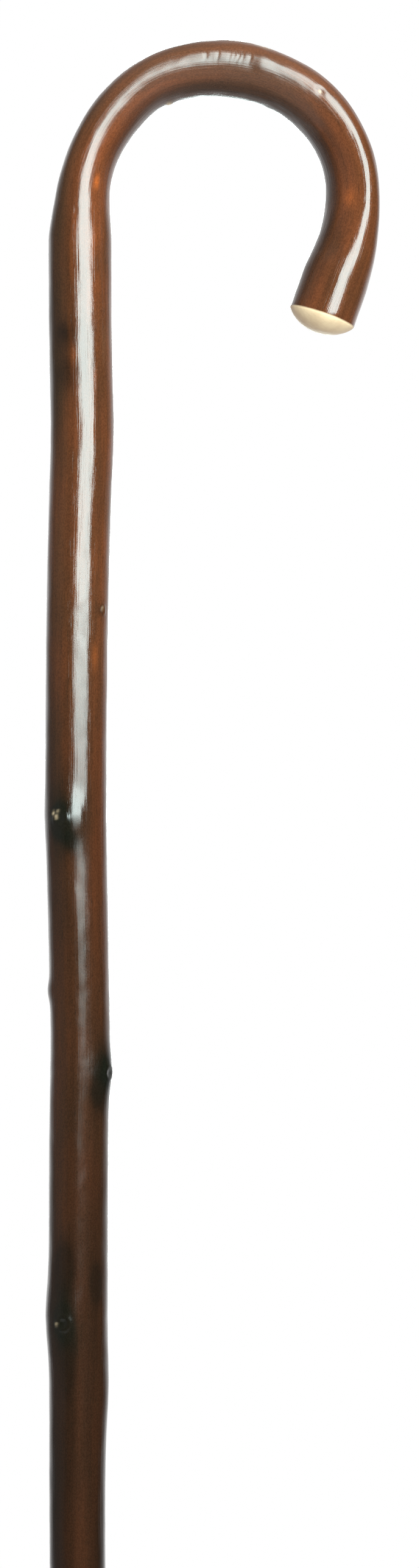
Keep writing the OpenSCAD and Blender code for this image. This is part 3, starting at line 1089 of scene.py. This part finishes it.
        bare = np.maximum(self.seat_bare * on_seat, on_dome)
        self.keep(piece, "stem", "FLOAT_VECTOR", "vector", stem)
        self.keep(piece, "marks", "FLOAT_COLOR", "color", self.marks(place, angle, bare))
        self.keep(piece, "shade", "FLOAT", "value", self.shade(place, angle))
        self.keep(piece, "worn", "FLOAT", "value", (through(self.worn, place) + 0 * angle)[..., None])
        return piece

    def keep(self, piece: bpy.types.Object, name: str, kind: str, member: str, grid: np.ndarray) -> None:
        """Writes a grid of values to a point attribute, with the end points taking their ring's mean.

        Args:
            piece: The object.
            name: The attribute's name.
            kind: Its data type.
            member: The member that foreach_set fills.
            grid: The values, shaped (rings, points in a ring, values).
        """
        values = np.vstack([grid.reshape(-1, grid.shape[-1]), grid[0].mean(0), grid[-1].mean(0)])
        attribute = piece.data.attributes.new(name, kind, "POINT")
        attribute.data.foreach_set(member, values.astype(np.float32).ravel())

    def dress(self, piece: bpy.types.Object, wood: bpy.types.Material) -> None:
        """Gives the wood its finish, and puts it in the CAD wood's place.

        Args:
            piece: The wood's object.
            wood: Its finish.
        """
        piece.data.materials.append(wood)
        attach(piece, "stick")
        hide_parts("stick")


# ---------------------------------------------------------------------------------------------------
# The ferrule
# ---------------------------------------------------------------------------------------------------
@dataclass
class Ferrule:
    """The rubber foot and the steel disc in it, which keep their CAD shapes."""

    rubber_node: str = "ferrule_rubber"
    disc_node: str = "ferrule_washer"

    def dress(self, rubber: bpy.types.Material, steel: bpy.types.Material) -> None:
        """Gives the two CAD nodes their finishes.

        Args:
            rubber: The foot's finish.
            steel: The disc's finish.
        """
        for name, finish in ((self.rubber_node, rubber), (self.disc_node, steel)):
            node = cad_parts[name]
            node.data.materials.clear()
            node.data.materials.append(finish)


# ---------------------------------------------------------------------------------------------------
# The studio
# ---------------------------------------------------------------------------------------------------
@dataclass(frozen=True)
class Softbox:
    """A flat upright rectangular light that faces the stick along Y.

    Attributes:
        name: The light's name.
        left, right, bottom, top: Its edges in metres.
        y: Where it stands, in front of the stick or behind it.
        glow: Its radiance.
        tint: Its colour.
    """

    name: str
    left: float
    right: float
    bottom: float
    top: float
    y: float
    glow: float
    tint: tuple = (0.85, 1.0, 0.98)

    def build(self) -> None:
        """Makes the light."""
        data = bpy.data.lights.new(self.name, "AREA")
        data.shape = "RECTANGLE"
        data.size = self.right - self.left
        data.size_y = self.top - self.bottom
        data.color = self.tint
        data.energy = self.glow * math.pi * data.size * data.size_y
        lamp = bpy.data.objects.new(self.name, data)
        lamp.location = ((self.left + self.right) / 2, self.y, (self.bottom + self.top) / 2)
        lamp.rotation_euler = (math.copysign(math.pi / 2, -self.y), 0, 0)
        lamp.visible_camera = False
        bpy.context.scene.collection.objects.link(lamp)


@dataclass(frozen=True)
class Studio:
    """A white room: bright behind the stick, dim in front of it, with soft boxes and a pale floor.

    Attributes:
        boxes: The lights.
        floor_radius: Radius of the floor.
        floor_near, floor_far: Shares of it at which the floor starts and ends to thin out.
        floor_cover: How much the floor hides of what is below it.
        front, back, side, under, top: How bright the room is in reflections, on each side.
    """

    boxes: tuple = (
        Softbox("key", -0.05, 1.07, 0.77, 2.0, -1.35, 16.5),
        Softbox("key_skirt_1", -0.05, 1.07, 0.69, 0.77, -1.35, 11),
        Softbox("key_skirt_2", -0.02, 1.0, 0.62, 0.69, -1.35, 8.5),
        Softbox("key_skirt_3", 0.0, 0.7, 0.53, 0.62, -1.35, 4.4),
        Softbox("key_skirt_4", 0.04, 0.6, 0.44, 0.53, -1.35, 2.2),
        Softbox("key_skirt_5", 0.06, 0.5, 0.35, 0.44, -1.35, 0.9),
        Softbox("back", -0.12, 0.12, 0.3, 1.6, 1.3, 12),
    )
    floor_radius: float = 1.1
    floor_near: float = 0.25
    floor_far: float = 0.95
    floor_cover: float = 0.2
    front: float = 0.03
    back: float = 1.2
    side: float = 0.2
    under: float = 0.8
    top: float = 0.5

    def build(self) -> None:
        """Makes the lights, the room and the floor."""
        for box in self.boxes:
            box.build()
        self.room()
        self.floor()

    def room(self) -> None:
        """The world: white to look at, and in reflections bright behind the stick and dim before it.

        Its brightness is the greatest of four smooth ramps over the direction.
        """
        world = bpy.data.worlds.new("white_room")
        bpy.context.scene.world = world
        world.use_nodes = True
        graph = Graph(world.node_tree)
        graph.nodes.clear()
        output = graph.add("ShaderNodeOutputWorld")
        parts = graph.add("ShaderNodeSeparateXYZ")
        graph.tree.links.new(graph.add("ShaderNodeTexCoord").outputs["Generated"], parts.inputs[0])
        level = graph.remap(parts.outputs["Y"], 0.2, 0.95, self.front, self.back)
        for axis, low, high, at_low, at_high in (
            ("X", -1.0, -0.5, self.side, self.front),
            ("Z", -0.7, -0.3, self.under, self.front),
            ("Z", 0.4, 0.95, self.front, self.top),
        ):
            ramp = graph.remap(parts.outputs[axis], low, high, at_low, at_high)
            level = graph.math("MAXIMUM", level, ramp)
        seen = graph.add("ShaderNodeLightPath").outputs["Is Camera Ray"]
        level = graph.mix(seen, level, (1.0, 1.0, 1.0, 1.0))
        background = graph.add("ShaderNodeBackground")
        graph.feed(background, Color=level, Strength=1.0)
        graph.tree.links.new(background.outputs[0], output.inputs["Surface"])

    def floor(self) -> None:
        """A pale round floor that the ferrule stands on, thinning out into the white room.

        It is thin enough to see the ferrule through it once that is pulled off below the foot.
        """
        spread = np.linspace(0, TURN, 96, endpoint=False)
        points = np.stack([np.cos(spread), np.sin(spread), 0 * spread], -1) * self.floor_radius
        mesh = bpy.data.meshes.new("floor")
        mesh.from_pydata(points, [], [list(range(len(spread)))])
        disc = bpy.data.objects.new("floor", mesh)
        bpy.context.scene.collection.objects.link(disc)
        material, graph, shader = new_material("pale_floor")
        seen = graph.add("ShaderNodeLightPath").outputs["Is Camera Ray"]
        pale = graph.mix(seen, (0.25, 0.25, 0.25, 1.0), (0.86, 0.86, 0.85, 1.0))
        span = graph.add("ShaderNodeVectorMath", operation="LENGTH")
        graph.tree.links.new(graph.add("ShaderNodeTexCoord").outputs["Object"], span.inputs[0])
        start, end = self.floor_near * self.floor_radius, self.floor_far * self.floor_radius
        near = graph.remap(span.outputs["Value"], start, end, 1.0, 0.0)
        near = graph.math("MULTIPLY", near, graph.remap(seen, 0.0, 1.0, 1.0, self.floor_cover))
        graph.feed(shader, Base_Color=pale, Roughness=0.8, Alpha=near)
        mesh.materials.append(material)


@dataclass(frozen=True)
class View:
    """The camera, level and square to the crook, which takes in the crook and the upper shaft."""

    x: float = 0.047
    z: float = 0.6464
    distance: float = 1.3
    height: float = 0.5667
    sensor: float = 36

    def build(self) -> None:
        """Makes the camera and sets it as the scene's."""
        data = bpy.data.cameras.new("view")
        data.sensor_width = self.sensor
        data.lens = self.sensor * self.distance / self.height
        data.clip_start = 0.05
        camera = bpy.data.objects.new("view", data)
        camera.location = (self.x, -self.distance, self.z)
        camera.rotation_euler = (math.pi / 2, 0, 0)
        bpy.context.scene.collection.objects.link(camera)
        bpy.context.scene.camera = camera


def main() -> None:
    """Builds the view, the studio, the finishes, the stick and the ferrule, in that order."""
    logging.basicConfig(level=logging.INFO, format="%(name)s: %(message)s")
    View().build()
    Studio().build()
    grain, dust = grain_group(), dust_group()
    wood = VarnishedWood().build(grain)
    rubber = MouldedRubber().build(dust)
    steel = PlatedSteel().build()
    stick = BentStick.from_model()
    log.info("heights from the model: crook from %.2f mm, wood from %.2f mm", stick.crook_z, stick.wood_z)
    piece = stick.build()
    stick.dress(piece, wood)
    log.info("bent stick: %d faces", len(piece.data.polygons))
    Ferrule().dress(rubber, steel)
    log.info("ferrule: rubber and disc dressed")
    bpy.context.scene.view_settings.view_transform = "Standard"


if __name__ == "__main__":
    main()
